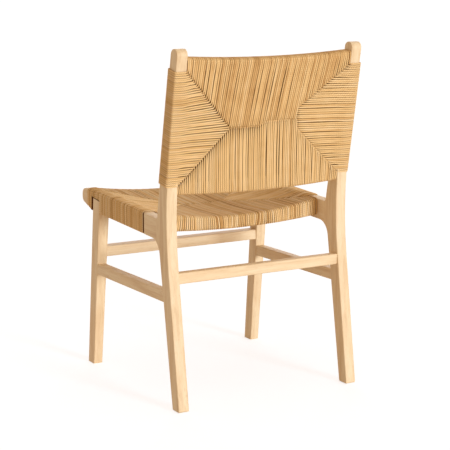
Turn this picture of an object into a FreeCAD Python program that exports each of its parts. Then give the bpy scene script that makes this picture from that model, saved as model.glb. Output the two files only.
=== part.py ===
import FreeCAD, Part
import math
import os

# Side chair in pale hardwood with a seat and a back woven from paper cord.
# All sizes are in millimetres. The chair faces -Y, +Z is up and +X is the sitter's left.
# The origin is on the floor, under the middle of the whole chair.

V = FreeCAD.Vector

# Overall size
width = 500.0
depth = 533.0
height = 850.0

# Making sizes shared by all pieces
frame_t = 28.0
edge_r = 2.5
foot_r = 4.0
fit_gap = 0.15
overrun = 60.0

# Paper cord as it lies on the frame
cord_t = 3.4
slot_gap = 5.0
top_slot_gap = 2.4

# Rear leg, one bent piece from the floor to the horn above the back
rear_overhang = 3.0
rear_foot_d = 33.5
rear_kick = 8.36
rear_front_kick = 9.54
knee_z = 459.0
knee_r = 800.0
back_lean = 10.37
post_low_d = 37.5
horn_d = 32.7
horn_r = 14.0
crook_r = 8.0
haunch_r = 40.0
haunch = 9.4

# Side seat rail, which carries on the line of the rear leg's haunch
rail_h = 51.5
rail_top_z = 448.0
seat_pitch = 1.7
nose_top_r = 16.0
nose_low_r = 14.0
nose_low_z = 427.0
bevel_run = 59.0
bevel_r = 30.0
rail_tenon_t = 10.0
rail_tenon_h = 34.0
rail_tenon_l = 27.0

# Front leg
front_foot_in = 20.0
front_foot_d = 34.8
front_kick = 5.99
front_back_kick = 6.50
front_top_z = 442.0
front_leg_w = 29.0
front_foot_w = 24.6
lap_t = 13.0
dowel_r = 4.0
dowel_l = 20.0
dowel_spread = 17.0
dowel_drop = 14.0
dowel_in_cheek = 8.5

# Rails across the seat, each hollowed towards its middle
front_rail_d = 25.0
front_rail_set = 5.0
front_rail_h = 29.5
front_rail_dip = 18.5
front_rail_low_dip = 16.0
front_rail_r = 9.5
rear_rail_d = 27.0
rear_rail_gap = 33.5
rear_rail_set = 1.0
rear_rail_h = 37.5
rear_rail_dip = 22.5
rear_rail_low_dip = 11.5
rear_rail_r = 5.0
seat_tenon_t = 10.0
seat_tenon_h = 20.0
seat_tenon_l = 16.0

# Rails across the back, each bowed to the rear and hollowed a little
back_rail_d = 22.0
back_rail_r = 7.0
top_rail_h = 26.0
top_rail_crest = 302.0
low_rail_h = 18.0
back_rail_in = 3.4
back_bow = 6.0
back_dip = 6.5
back_reach = 8.0
back_tenon_t = 9.0
back_tenon_h = 12.0
back_tenon_l = 18.0
weave_foot_z = 528.0

# Stretchers
stretcher_r = 3.0
front_str_h = 27.0
front_str_d = 32.0
front_str_z = 303.0
front_str_in = 4.0
rear_str_h = 26.6
rear_str_d = 22.0
rear_str_z = 310.3
rear_str_in = 4.0
side_str_h = 28.0
side_str_t = 24.0
side_str_in = 1.0
side_str_front_z = 258.0
side_str_rear_z = 265.5
side_str_reach = 12.0
str_tenon_t = 9.0
str_tenon_h = 17.0
str_tenon_l = 18.0

# Woven seat and back
seat_sag = 7.5
seat_edge_sag = 0.5
seat_lift = 8.5
seat_edge_drop = 9.0
weave_front_r = 13.0
weave_rear_r = 8.0
wrap_top_r = 8.0
wrap_low_r = 3.0
back_sink = 7.0
back_edge_swell = 9.0
back_weave_r = 8.0
post_wrap_r = 4.0

# How far the middle of a quarter arc lies in from its square corner, as a share of its radius
arc_share = 1 - math.sqrt(1 / 2)

# Tacks that hold the ends of the cord
tack_r = 0.8
tack_l = 11.0
tack_head_r = 2.4
tack_head_t = 0.9
tack_inset = 24.0

# Places worked out from the sizes
half_w = width / 2
half_d = depth / 2
inner_x = half_w - frame_t
foot_back = half_d - rear_overhang
foot_front = foot_back - rear_foot_d
knee_y = foot_back - knee_z * math.tan(math.radians(rear_kick))
lean_run = math.tan(math.radians(back_lean))
top_back_y = knee_y + (height - knee_z) * lean_run
pitch_run = math.tan(math.radians(seat_pitch))
post_front_y = knee_y + (rail_top_z - knee_z) * lean_run - post_low_d


def rear_leg_front(z):
    """Front face of the rear leg below the seat, at height z."""
    return foot_front - z * math.tan(math.radians(rear_front_kick))


def rear_leg_back(z):
    """Back face of the rear leg below the knee, at height z."""
    return foot_back - z * math.tan(math.radians(rear_kick))


def front_leg_front(z):
    """Front face of the front leg at height z."""
    return -half_d + front_foot_in + z * math.tan(math.radians(front_kick))


def front_leg_back(z):
    """Back face of the front leg at height z."""
    return -half_d + front_foot_in + front_foot_d + z * math.tan(math.radians(front_back_kick))


haunch_y = rear_leg_front(rail_top_z - rail_h)
joint_y = haunch_y - haunch


def rail_top(y):
    """Top of the side seat rail at y. The seat rises towards the front."""
    return rail_top_z + (joint_y - y) * pitch_run


def rail_low(y):
    """Underside of the side seat rail at y."""
    return rail_top(y) - rail_h


rear_rail_back = joint_y - rear_rail_gap
rear_rail_front = rear_rail_back - rear_rail_d
front_rail_front = -half_d + cord_t
front_rail_back = front_rail_front + front_rail_d
wrap_front = front_rail_back + cord_t
wrap_back = rear_rail_front - cord_t
bevel_y = -half_d + bevel_run
seat_tenon = V(seat_tenon_l, seat_tenon_t, seat_tenon_h)
stretcher_tenon = V(str_tenon_l, str_tenon_t, str_tenon_h)
lap_x = half_w - lap_t


def yz(x):
    """Place for an outline drawn in Y and Z, at the given x."""
    return lambda u, v: V(x, u, v)


def xz(y):
    """Place for an outline drawn in X and Z, at the given y."""
    return lambda u, v: V(u, y, v)


def back_point(x, t, s):
    """Point on the leaning back: t is out to the rear, s is up along the post."""
    lean = math.radians(back_lean)
    base_y = knee_y + (weave_foot_z - knee_z) * lean_run
    y = base_y + t * math.cos(lean) + s * math.sin(lean)
    z = weave_foot_z - t * math.sin(lean) + s * math.cos(lean)
    return V(x, y, z)


def corner_arc(before, here, after):
    """Start, middle and end of the arc that eases one corner of an outline."""
    point = V(here[0], here[1], 0)
    if here[2] == 0:
        return point, None, point
    back = (V(before[0], before[1], 0) - point).normalize()
    ahead = (V(after[0], after[1], 0) - point).normalize()
    half = back.getAngle(ahead) / 2
    inward = (back + ahead).normalize()
    reach = here[2] / math.tan(half)
    centre = point + inward * (here[2] / math.sin(half))
    return point + back * reach, centre - inward * here[2], point + ahead * reach


def rounded_wire(corners, place):
    """Closed wire through (u, v, radius) corners."""
    arcs = []
    for i in range(len(corners)):
        arcs.append(corner_arc(corners[i - 1], corners[i], corners[(i + 1) % len(corners)]))
    edges = []
    for i, (start, middle, end) in enumerate(arcs):
        first = place(start.x, start.y)
        last = place(end.x, end.y)
        if middle is not None:
            edges.append(Part.Arc(first, place(middle.x, middle.y), last).toShape())
        following = arcs[(i + 1) % len(arcs)][0]
        edges.append(Part.LineSegment(last, place(following.x, following.y)).toShape())
    return Part.Wire(edges)


def prism(corners, place, along):
    """Solid pushed out of an outline along a vector."""
    return Part.Face(rounded_wire(corners, place)).extrude(along)


def block(low, high):
    """Box between two corner points."""
    return Part.makeBox(high.x - low.x, high.y - low.y, high.z - low.z, low)


def grown(low, high, gap):
    """Box between two corner points, larger by a gap on every side."""
    extra = V(gap, gap, gap)
    return block(low - extra, high + extra)


def mirrored(shape):
    """The same piece for the sitter's right."""
    return shape.mirror(V(0, 0, 0), V(1, 0, 0))


def cut_all(shape, tools):
    """A shape less every tool in a list."""
    for tool in tools:
        shape = shape.cut(tool)
    return shape


def straight_edge(place, start, end):
    """Straight edge between two (u, v) points of an outline."""
    return Part.LineSegment(place(*start), place(*end)).toShape()


def spline_edge(place, points):
    """Smooth edge through (u, v) points of an outline."""
    curve = Part.BSplineCurve()
    curve.interpolate([place(*point) for point in points])
    return curve.toShape()


def quarter_arc(place, corner, back, ahead):
    """Edge that rounds a square corner. Back and ahead lead from the corner to the arc's two ends."""
    u, v = corner
    middle = place(u + (back[0] + ahead[0]) * arc_share, v + (back[1] + ahead[1]) * arc_share)
    return Part.Arc(place(u + back[0], v + back[1]), middle, place(u + ahead[0], v + ahead[1])).toShape()


def hollow_z(x, end_z, dip):
    """Height at x of a rail edge that falls by dip from its ends to its middle."""
    radius = (inner_x ** 2 + dip ** 2) / (2 * dip)
    return end_z - dip + radius - math.sqrt(radius ** 2 - x ** 2)


def long_edges(shape, least):
    """Edges of a shape that are longer than the given length."""
    return [edge for edge in shape.Edges if edge.Length > least]


def side_frame_corners():
    """Outline of the rear leg and the side seat rail together."""
    return [
        (foot_back, 0, foot_r),
        (knee_y, knee_z, knee_r),
        (top_back_y, height, horn_r),
        (top_back_y - horn_d, height, horn_r),
        (post_front_y, rail_top(post_front_y), crook_r),
        (-half_d, rail_top(-half_d), nose_top_r),
        (-half_d, nose_low_z, nose_low_r),
        (bevel_y, rail_low(bevel_y), bevel_r),
        (haunch_y, rail_low(haunch_y), haunch_r),
        (foot_front, 0, foot_r),
    ]


def rail_corners(top_add, low_add):
    """Outline of the side seat rail up to the end of its wrapping, with raised edges."""
    return [
        (wrap_back, rail_top(wrap_back) + top_add, 0),
        (-half_d, rail_top(-half_d) + top_add, nose_top_r),
        (-half_d, nose_low_z + low_add, nose_low_r),
        (bevel_y, rail_low(bevel_y) + low_add, bevel_r),
        (wrap_back, rail_low(wrap_back) + low_add, 0),
    ]


def make_side_frame():
    """Rear leg and side seat rail in one, before the joint is cut."""
    solid = prism(side_frame_corners(), yz(inner_x), V(frame_t, 0, 0))
    outer_edges = []
    for edge in solid.Edges:
        box = edge.BoundBox
        if box.XMax - box.XMin < fit_gap:
            outer_edges.append(edge)
    return solid.makeFillet(edge_r, outer_edges)


def behind(y):
    """Block that holds everything behind a given y."""
    return block(V(-half_w - overrun, y, -overrun), V(half_w + overrun, half_d + overrun, height + overrun))


def wrapped_zone():
    """Block that holds the wrapped length of the side seat rails."""
    return block(V(-half_w - overrun, wrap_front, 0), V(half_w + overrun, wrap_back, height))


def rail_tenon(gap):
    """Tenon from the side seat rail into the rear leg."""
    mid_x = half_w - frame_t / 2
    mid_z = rail_top(joint_y) - rail_h / 2
    low = V(mid_x - rail_tenon_t / 2, joint_y - rail_tenon_l, mid_z - rail_tenon_h / 2)
    high = V(mid_x + rail_tenon_t / 2, joint_y + rail_tenon_l, mid_z + rail_tenon_h / 2)
    return grown(low, high, gap)


def leg_top_corners(front_gap, back_gap, up_gap):
    """Outline of the front leg, cut square to its length at the top."""
    slope = math.tan(math.radians((front_kick + front_back_kick) / 2))
    top = front_top_z + up_gap
    front_top = front_leg_front(top) - front_gap
    back_top = front_leg_back(top) + back_gap
    drop = (back_top - front_top) * slope
    return [
        (front_leg_front(0) - front_gap, 0, 0),
        (front_leg_back(0) + back_gap, 0, 0),
        (front_leg_back(top - drop) + back_gap, top - drop, 0),
        (front_top, top, 0),
    ]


def leg_space(front_gap, back_gap, up_gap):
    """Room that the lapped top of the front leg takes in the seat rail and the cord."""
    corners = leg_top_corners(front_gap, back_gap, up_gap)
    return prism(corners, yz(lap_x), V(lap_t + overrun, 0, 0))


def make_wrap_core():
    """Wrapped length of the side seat rail, let in so that the cord lies flush."""
    length = V(frame_t - cord_t, 0, 0)
    core = prism(rail_corners(0, cord_t), yz(inner_x), length)
    return core.common(wrapped_zone()).cut(leg_space(slot_gap, fit_gap, top_slot_gap))


def make_side_rail(frame):
    """Side seat rail of the left side."""
    bare = frame.cut(behind(joint_y)).cut(wrapped_zone())
    rail = bare.fuse(make_wrap_core()).removeSplitter()
    return rail.fuse(rail_tenon(0).common(behind(joint_y - fit_gap)))


def make_front_leg():
    """Front leg of the left side, lapped at the top against the seat rail."""
    leg = prism(leg_top_corners(0, 0, 0), yz(half_w - front_leg_w), V(front_leg_w, 0, 0))
    foot_x = half_w - front_foot_w
    top_x = half_w - front_leg_w
    taper = [(top_x - overrun, 0, 0), (foot_x, 0, 0), (top_x, front_top_z, 0), (top_x - overrun, front_top_z, 0)]
    leg = leg.cut(prism(taper, xz(-half_d), V(0, depth, 0)))
    leg = leg.makeFillet(edge_r, long_edges(leg, front_top_z / 2))
    shoulder = [
        (-half_d, rail_low(-half_d) + cord_t, 0),
        (half_d, rail_low(half_d) + cord_t, 0),
        (half_d, height, 0),
        (-half_d, height, 0),
    ]
    above = prism(shoulder, yz(top_x - overrun), V(lap_x - top_x + overrun, 0, 0))
    return leg.cut(above)


def leg_dowels(gap):
    """Two dowels that pin the lap of the left front leg to the side seat rail."""
    mid_z = front_top_z - dowel_drop
    mid_y = (front_leg_front(mid_z) + front_leg_back(mid_z)) / 2
    start_x = lap_x + dowel_in_cheek - dowel_l - gap
    pins = []
    for side in (-1, 1):
        centre = V(start_x, mid_y + side * dowel_spread / 2, mid_z)
        pins.append(Part.makeCylinder(dowel_r + gap, dowel_l + 2 * gap, centre, V(1, 0, 0)))
    return pins


def hollow_rail(front_y, rail_d, end_top, rail_height, dip, low_dip, front_r, back_r):
    """Rail across the seat, hollowed above and below, with eased long edges."""
    low_end = end_top - rail_height
    top_arc = Part.Arc(
        V(-inner_x, front_y, end_top), V(0, front_y, end_top - dip), V(inner_x, front_y, end_top)
    )
    low_arc = Part.Arc(
        V(inner_x, front_y, low_end), V(0, front_y, low_end - low_dip), V(-inner_x, front_y, low_end)
    )
    ends = [
        Part.LineSegment(V(inner_x, front_y, end_top), V(inner_x, front_y, low_end)),
        Part.LineSegment(V(-inner_x, front_y, low_end), V(-inner_x, front_y, end_top)),
    ]
    wire = Part.Wire([top_arc.toShape(), ends[0].toShape(), low_arc.toShape(), ends[1].toShape()])
    solid = Part.Face(wire).extrude(V(0, rail_d, 0))
    mid_y = front_y + rail_d / 2
    fronts = [edge for edge in long_edges(solid, inner_x) if edge.CenterOfMass.y < mid_y]
    solid = solid.makeFillet(front_r, fronts)
    backs = [edge for edge in long_edges(solid, inner_x) if edge.BoundBox.YMin > front_y + rail_d - fit_gap]
    return solid.makeFillet(back_r, backs)


def end_tenons(mid_y, mid_z, end_x, size, gap):
    """Tenons at both ends of a piece that runs across the chair. Size is length, thickness, height."""
    tenons = []
    for side in (-1, 1):
        near = side * (end_x - edge_r)
        far = side * (end_x + size.x)
        low = V(min(near, far), mid_y - size.y / 2, mid_z - size.z / 2)
        high = V(max(near, far), mid_y + size.y / 2, mid_z + size.z / 2)
        tenons.append(grown(low, high, gap))
    return tenons


def front_rail_top():
    """Top of the front seat rail at its ends."""
    return rail_top(front_rail_front) - front_rail_set


def rear_rail_top():
    """Top of the rear seat rail at its ends."""
    return rail_top(rear_rail_back) - rear_rail_set


def front_tenons(gap):
    """Tenons of the front seat rail."""
    mid_y = front_rail_front + front_rail_d / 2
    return end_tenons(mid_y, front_rail_top() - front_rail_h / 2, inner_x, seat_tenon, gap)


def rear_tenons(gap):
    """Tenons of the rear seat rail."""
    mid_y = rear_rail_front + rear_rail_d / 2
    return end_tenons(mid_y, rear_rail_top() - rear_rail_h / 2, inner_x, seat_tenon, gap)


def make_front_seat_rail():
    """Front rail of the seat, without its tenons."""
    return hollow_rail(
        front_rail_front, front_rail_d, front_rail_top(), front_rail_h,
        front_rail_dip, front_rail_low_dip, front_rail_r, rear_rail_r
    )


def make_rear_seat_rail():
    """Rear rail of the seat, without its tenons."""
    return hollow_rail(
        rear_rail_front, rear_rail_d, rear_rail_top(), rear_rail_h,
        rear_rail_dip, rear_rail_low_dip, rear_rail_r, rear_rail_r
    )


def top_rail_s():
    """Height along the post of the middle of the top rail's ends."""
    return top_rail_crest - top_rail_h / 2


def low_rail_s():
    """Height along the post of the middle of the bottom rail's ends."""
    return -low_rail_h / 2


def back_rail_t():
    """Depth of the middle of a back rail's ends from the back face of the posts."""
    return -back_rail_in - back_rail_d / 2


def make_back_rail(mid_s, rail_height, posts):
    """Rail across the back, swept along a shallow arc between the posts."""
    mid_t = back_rail_t()
    end_x = inner_x + back_reach
    path = Part.Arc(
        back_point(-end_x, mid_t, mid_s),
        back_point(0, mid_t + back_bow, mid_s - back_dip),
        back_point(end_x, mid_t, mid_s)
    ).toShape()
    half_t = back_rail_d / 2
    half_s = rail_height / 2
    corners = [
        (mid_t + half_t, mid_s + half_s, back_rail_r),
        (mid_t - half_t, mid_s + half_s, back_rail_r),
        (mid_t - half_t, mid_s - half_s, back_rail_r),
        (mid_t + half_t, mid_s - half_s, back_rail_r),
    ]
    section = rounded_wire(corners, lambda t, s: back_point(-end_x, t, s))
    bar = Part.Wire(path).makePipeShell([section], True, True)
    for post in posts:
        bar = bar.cut(post)
    return bar


def back_tenons(mid_s, gap):
    """Tenons at both ends of a rail across the back."""
    mid_t = back_rail_t()
    corners = []
    for t, s in ((1, 1), (-1, 1), (-1, -1), (1, -1)):
        corners.append((mid_t + t * (back_tenon_t / 2 + gap), mid_s + s * (back_tenon_h / 2 + gap), 0))
    tenons = []
    for side in (-1, 1):
        start = side * (inner_x - edge_r)
        reach = side * (edge_r + back_tenon_l + gap)
        tenons.append(prism(corners, lambda t, s: back_point(start, t, s), V(reach, 0, 0)))
    return tenons


def cross_tenons(ends, end_x, gap):
    """Tenons at both ends of a stretcher that runs across the chair between two corner points."""
    low, high = ends
    return end_tenons((low.y + high.y) / 2, (low.z + high.z) / 2, end_x, stretcher_tenon, gap)


def cross_stretcher(ends, legs):
    """Stretcher across the chair, ended on the inner faces of the legs."""
    bar = block(*ends)
    bar = bar.makeFillet(stretcher_r, long_edges(bar, inner_x))
    for leg in legs:
        bar = bar.cut(leg)
    return bar


def front_stretcher_box():
    """Corner points of the front stretcher, run into both legs."""
    back_y = front_leg_back(front_str_z) - front_str_in
    reach = inner_x + stretcher_r
    low = V(-reach, back_y - front_str_d, front_str_z - front_str_h / 2)
    high = V(reach, back_y, front_str_z + front_str_h / 2)
    return low, high


def rear_stretcher_box():
    """Corner points of the rear stretcher, run into both legs."""
    back_y = rear_leg_back(rear_str_z) - rear_str_in
    reach = inner_x + stretcher_r
    low = V(-reach, back_y - rear_str_d, rear_str_z - rear_str_h / 2)
    high = V(reach, back_y, rear_str_z + rear_str_h / 2)
    return low, high


def side_stretcher_tenons(gap):
    """Tenons of the left side stretcher, one into each leg."""
    mid_x = half_w - side_str_in - side_str_t / 2
    tenons = []
    for face_y, mid_z, way in (
        (front_leg_back(side_str_front_z), side_str_front_z, -1),
        (rear_leg_front(side_str_rear_z), side_str_rear_z, 1),
    ):
        ends = sorted((face_y - way * side_str_reach, face_y + way * str_tenon_l))
        low = V(mid_x - str_tenon_t / 2, ends[0], mid_z - str_tenon_h / 2)
        high = V(mid_x + str_tenon_t / 2, ends[1], mid_z + str_tenon_h / 2)
        tenons.append(grown(low, high, gap))
    return tenons


def make_side_stretcher(front_leg, rear_leg):
    """Left side stretcher, ended on the faces of both legs."""
    start_y = front_leg_back(side_str_front_z) - side_str_reach
    end_y = rear_leg_front(side_str_rear_z) + side_str_reach
    half_h = side_str_h / 2
    corners = [
        (start_y, side_str_front_z - half_h, 0),
        (end_y, side_str_rear_z - half_h, 0),
        (end_y, side_str_rear_z + half_h, 0),
        (start_y, side_str_front_z + half_h, 0),
    ]
    outer_x = half_w - side_str_in
    bar = prism(corners, yz(outer_x - side_str_t), V(side_str_t, 0, 0))
    bar = bar.makeFillet(stretcher_r, long_edges(bar, inner_x))
    return bar.cut(front_leg).cut(rear_leg)


def seat_section(x):
    """Outline of the woven seat across the chair at x, from the nose to the rear rail."""
    share = (x / inner_x) ** 2
    front_y = -half_d
    rear_y = rear_rail_back + cord_t
    front_top = hollow_z(x, front_rail_top(), front_rail_dip) + cord_t
    rear_top = hollow_z(x, rear_rail_top(), rear_rail_dip) + cord_t
    front_low = hollow_z(x, front_rail_top() - front_rail_h, front_rail_low_dip) - cord_t
    rear_low = hollow_z(x, rear_rail_top() - rear_rail_h, rear_rail_low_dip) - cord_t
    sag = seat_sag + (seat_edge_sag - seat_sag) * share
    lift = seat_lift - (seat_lift + seat_edge_drop) * share
    mid_y = (front_y + rear_y) / 2
    top_mid = (front_top + rear_top) / 2 - sag
    low_mid = (front_low + rear_low) / 2 + lift
    fr = weave_front_r
    rr = weave_rear_r
    place = yz(x)
    edges = [
        straight_edge(place, (front_y + fr, front_top), (wrap_front, front_top)),
        spline_edge(place, [(wrap_front, front_top), (mid_y, top_mid), (wrap_back, rear_top)]),
        straight_edge(place, (wrap_back, rear_top), (rear_y - rr, rear_top)),
        quarter_arc(place, (rear_y, rear_top), (-rr, 0), (0, -rr)),
        straight_edge(place, (rear_y, rear_top - rr), (rear_y, rear_low + rr)),
        quarter_arc(place, (rear_y, rear_low), (0, rr), (-rr, 0)),
        straight_edge(place, (rear_y - rr, rear_low), (wrap_back, rear_low)),
        spline_edge(place, [(wrap_back, rear_low), (mid_y, low_mid), (wrap_front, front_low)]),
        straight_edge(place, (wrap_front, front_low), (front_y + fr, front_low)),
        quarter_arc(place, (front_y, front_low), (fr, 0), (0, fr)),
        straight_edge(place, (front_y, front_low + fr), (front_y, front_top - fr)),
        quarter_arc(place, (front_y, front_top), (0, -fr), (fr, 0)),
    ]
    return Part.Wire(edges)


def stations():
    """Places across the chair where the woven panels are drawn."""
    return (-inner_x, -inner_x / 2, 0, inner_x / 2, inner_x)


def make_side_wrap():
    """Cord wound round the left side seat rail."""
    low_z = rail_low(wrap_front)
    top_z = rail_top(wrap_front) + cord_t
    length = wrap_back - wrap_front
    profile = [
        (inner_x, low_z, 0),
        (half_w, low_z, wrap_low_r),
        (half_w, top_z, wrap_top_r),
        (inner_x, top_z, 0),
    ]
    tube = prism(profile, xz(wrap_front), V(0, length, -length * pitch_run))
    outline = prism(rail_corners(cord_t, 0), yz(inner_x), V(frame_t, 0, 0))
    return tube.common(outline)


def make_seat_weave(rails, wood):
    """Woven seat: the four fields of cord and the turns round all four rails."""
    panel = Part.makeLoft([seat_section(x) for x in stations()], True, False)
    panel = cut_all(panel, rails)
    wrap = cut_all(make_side_wrap(), wood + [leg_space(slot_gap, fit_gap, top_slot_gap)])
    return panel.fuse([wrap, mirrored(wrap)])


def back_section(x):
    """Outline of the woven back at x, round the top rail and the bottom rail."""
    share = (x / inner_x) ** 2
    bow = hollow_z(x, 0, back_bow) + back_bow
    mid_t = back_rail_t() + back_bow - bow
    dip = hollow_z(x, 0, back_dip)
    reach = back_rail_d / 2 + cord_t
    top_s = top_rail_crest + cord_t + dip
    low_s = -low_rail_h - cord_t + dip
    rear_t = mid_t + reach
    front_t = mid_t - reach
    mid_s = (top_s + low_s) / 2
    rear_mid = rear_t - back_sink * (1 - share)
    front_mid = front_t + back_sink - (back_sink + back_edge_swell) * share
    r = back_weave_r

    def place(t, s):
        return back_point(x, t, s)

    edges = [
        spline_edge(place, [(rear_t, top_s - r), (rear_mid, mid_s), (rear_t, low_s + r)]),
        quarter_arc(place, (rear_t, low_s), (0, r), (-r, 0)),
        straight_edge(place, (rear_t - r, low_s), (front_t + r, low_s)),
        quarter_arc(place, (front_t, low_s), (r, 0), (0, r)),
        spline_edge(place, [(front_t, low_s + r), (front_mid, mid_s), (front_t, top_s - r)]),
        quarter_arc(place, (front_t, top_s), (0, -r), (r, 0)),
        straight_edge(place, (front_t + r, top_s), (rear_t - r, top_s)),
        quarter_arc(place, (rear_t, top_s), (-r, 0), (0, -r)),
    ]
    return Part.Wire(edges)


def post_depth(s):
    """Depth of the post, square to its length, at s up the back."""
    z = weave_foot_z + s * math.cos(math.radians(back_lean))
    share = (z - rail_top_z) / (height - rail_top_z)
    level = post_low_d + (horn_d - post_low_d) * share
    return level * math.cos(math.radians(back_lean))


def make_post_wrap():
    """Cord wound round the left post between the two back rails, before the post is cut from it."""
    top_s = top_rail_crest - top_rail_h
    wires = []
    for s in (0, top_s):
        front_t = -post_depth(s) - cord_t
        corners = [
            (inner_x, cord_t, 0),
            (half_w + cord_t, cord_t, post_wrap_r),
            (half_w + cord_t, front_t, post_wrap_r),
            (inner_x, front_t, 0),
        ]
        wires.append(rounded_wire(corners, lambda x, t, s=s: back_point(x, t, s)))
    return Part.makeLoft(wires, True, True)


def make_back_weave(wood):
    """Woven back: the four fields of cord and the turns round posts and rails."""
    panel = Part.makeLoft([back_section(x) for x in stations()], True, False)
    wrap = make_post_wrap()
    return cut_all(panel.fuse([wrap, mirrored(wrap)]), wood)


def tack(place, turn, gap):
    """Cord tack driven from the inside of a rail or a post, its head inwards."""
    shank = Part.makeCylinder(tack_r + gap, tack_l + gap, place, turn)
    head = Part.makeCylinder(tack_head_r + gap, tack_head_t + gap, place, turn * -1)
    return shank.fuse(head)


def seat_tacks(gap):
    """Tacks inside the side seat rails, near the four corners of the seat."""
    tacks = []
    for side in (-1, 1):
        for y in (wrap_front + tack_inset + front_leg_w, wrap_back - tack_inset):
            place = V(side * inner_x, y, rail_top(y) - rail_h / 2)
            tacks.append(tack(place, V(side, 0, 0), gap))
    return tacks


def back_tacks(gap):
    """Tacks inside the posts, near the four corners of the back."""
    tacks = []
    for side in (-1, 1):
        for s in (tack_inset, top_rail_crest - top_rail_h - tack_inset):
            place = back_point(side * inner_x, back_rail_t(), s)
            tacks.append(tack(place, V(side, 0, 0), gap))
    return tacks


def solid_of(shape):
    """The one solid that a piece is made of."""
    return max(shape.removeSplitter().Solids, key=lambda solid: solid.Volume)


def build():
    """All pieces of the chair by name."""
    frame = make_side_frame()
    frames = [frame, mirrored(frame)]
    rear_leg = frame.common(behind(joint_y))
    rear_legs = [rear_leg, mirrored(rear_leg)]
    front_leg = make_front_leg()
    front_legs = [front_leg, mirrored(front_leg)]
    side_rail = make_side_rail(frame)
    side_rails = [side_rail, mirrored(side_rail)]

    front_seat_rail = make_front_seat_rail()
    rear_seat_rail = make_rear_seat_rail()
    top_rail = make_back_rail(top_rail_s(), top_rail_h, frames)
    low_rail = make_back_rail(low_rail_s(), low_rail_h, frames)
    front_ends = front_stretcher_box()
    rear_ends = rear_stretcher_box()
    front_leg_x = half_w - front_leg_w + (front_leg_w - front_foot_w) * (1 - front_str_z / front_top_z)
    front_stretcher = cross_stretcher(front_ends, front_legs)
    rear_stretcher = cross_stretcher(rear_ends, rear_legs)
    side_stretcher = make_side_stretcher(front_leg, rear_leg)

    seat_weave = make_seat_weave([front_seat_rail, rear_seat_rail], [side_rail, front_leg])
    back_weave = make_back_weave(frames + [top_rail, low_rail])

    leg_holes = back_tenons(top_rail_s(), fit_gap) + back_tenons(low_rail_s(), fit_gap)
    leg_holes += cross_tenons(rear_ends, inner_x, fit_gap) + side_stretcher_tenons(fit_gap)
    leg_holes += [rail_tenon(fit_gap)] + back_tacks(fit_gap)
    rail_holes = front_tenons(fit_gap) + rear_tenons(fit_gap) + leg_dowels(fit_gap) + seat_tacks(fit_gap)
    front_holes = cross_tenons(front_ends, front_leg_x, fit_gap)
    front_holes += side_stretcher_tenons(fit_gap) + leg_dowels(fit_gap)

    rear_leg = solid_of(cut_all(rear_leg, leg_holes))
    side_rail = solid_of(cut_all(side_rail, rail_holes))
    front_leg = solid_of(cut_all(front_leg, front_holes))
    side_stretcher = solid_of(side_stretcher.fuse(side_stretcher_tenons(0)))
    dowels = leg_dowels(0)

    return {
        "rear_leg_left": rear_leg,
        "rear_leg_right": mirrored(rear_leg),
        "front_leg_left": front_leg,
        "front_leg_right": mirrored(front_leg),
        "side_seat_rail_left": side_rail,
        "side_seat_rail_right": mirrored(side_rail),
        "front_seat_rail": solid_of(front_seat_rail.fuse(front_tenons(0))),
        "rear_seat_rail": solid_of(rear_seat_rail.fuse(rear_tenons(0))),
        "back_top_rail": solid_of(top_rail.fuse(back_tenons(top_rail_s(), 0))),
        "back_bottom_rail": solid_of(low_rail.fuse(back_tenons(low_rail_s(), 0))),
        "front_stretcher": solid_of(front_stretcher.fuse(cross_tenons(front_ends, front_leg_x, 0))),
        "rear_stretcher": solid_of(rear_stretcher.fuse(cross_tenons(rear_ends, inner_x, 0))),
        "side_stretcher_left": side_stretcher,
        "side_stretcher_right": mirrored(side_stretcher),
        "seat_weave": solid_of(cut_all(seat_weave, seat_tacks(fit_gap))),
        "back_weave": solid_of(cut_all(back_weave, back_tacks(fit_gap))),
        "front_leg_dowels": Part.makeCompound(dowels + [mirrored(pin) for pin in dowels]),
        "seat_cord_tacks": Part.makeCompound(seat_tacks(0)),
        "back_cord_tacks": Part.makeCompound(back_tacks(0)),
    }


os.makedirs("parts", exist_ok=True)
for name, shape in build().items():
    shape.exportStep("parts/" + name + ".step")
    print(name, len(shape.Solids), "solids", round(shape.Volume), "cubic mm")
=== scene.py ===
import math
import random

import bpy
import numpy as np
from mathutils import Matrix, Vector


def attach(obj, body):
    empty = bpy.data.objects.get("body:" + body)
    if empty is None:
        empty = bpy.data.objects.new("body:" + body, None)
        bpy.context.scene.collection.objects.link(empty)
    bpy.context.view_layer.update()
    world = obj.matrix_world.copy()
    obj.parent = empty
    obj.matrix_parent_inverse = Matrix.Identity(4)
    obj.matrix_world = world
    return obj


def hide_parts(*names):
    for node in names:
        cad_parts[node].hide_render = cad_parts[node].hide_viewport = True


# Side chair in soaped beech, with its seat and back woven from twisted paper cord.
# The chair faces -Y, +X is the sitter's left, and lengths are in millimetres until a mesh is made.

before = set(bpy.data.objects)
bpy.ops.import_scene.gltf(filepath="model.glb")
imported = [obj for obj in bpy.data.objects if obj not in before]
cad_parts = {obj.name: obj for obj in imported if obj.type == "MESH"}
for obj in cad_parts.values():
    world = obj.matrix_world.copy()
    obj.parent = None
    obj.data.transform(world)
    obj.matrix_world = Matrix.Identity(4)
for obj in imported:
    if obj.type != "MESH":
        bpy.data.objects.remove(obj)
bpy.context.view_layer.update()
mm = 0.001

# The frame that the cord is wound on
side_x = 222.0          # inner faces of the two side frames
outer_x = 250.0         # outer faces of the side frames
cord_t = 3.4            # how far the cord stands off the wood
lean = math.radians(10.37)      # of the back, from upright
back_foot_y = 208.7     # back face of the posts where the woven back starts
back_foot_z = 528.0
post_wrap_h = 276.0     # wound length of a post
post_d = (37.5, 32.7)   # depth of a post at the seat and at its top
post_z = (448.0, 850.0)
rail_cord_y = (-234.7, 90.0)    # wound length of a side seat rail
nose_y = -266.5         # front face of the woven seat
seat_back_y = 123.8     # and its rear face

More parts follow.
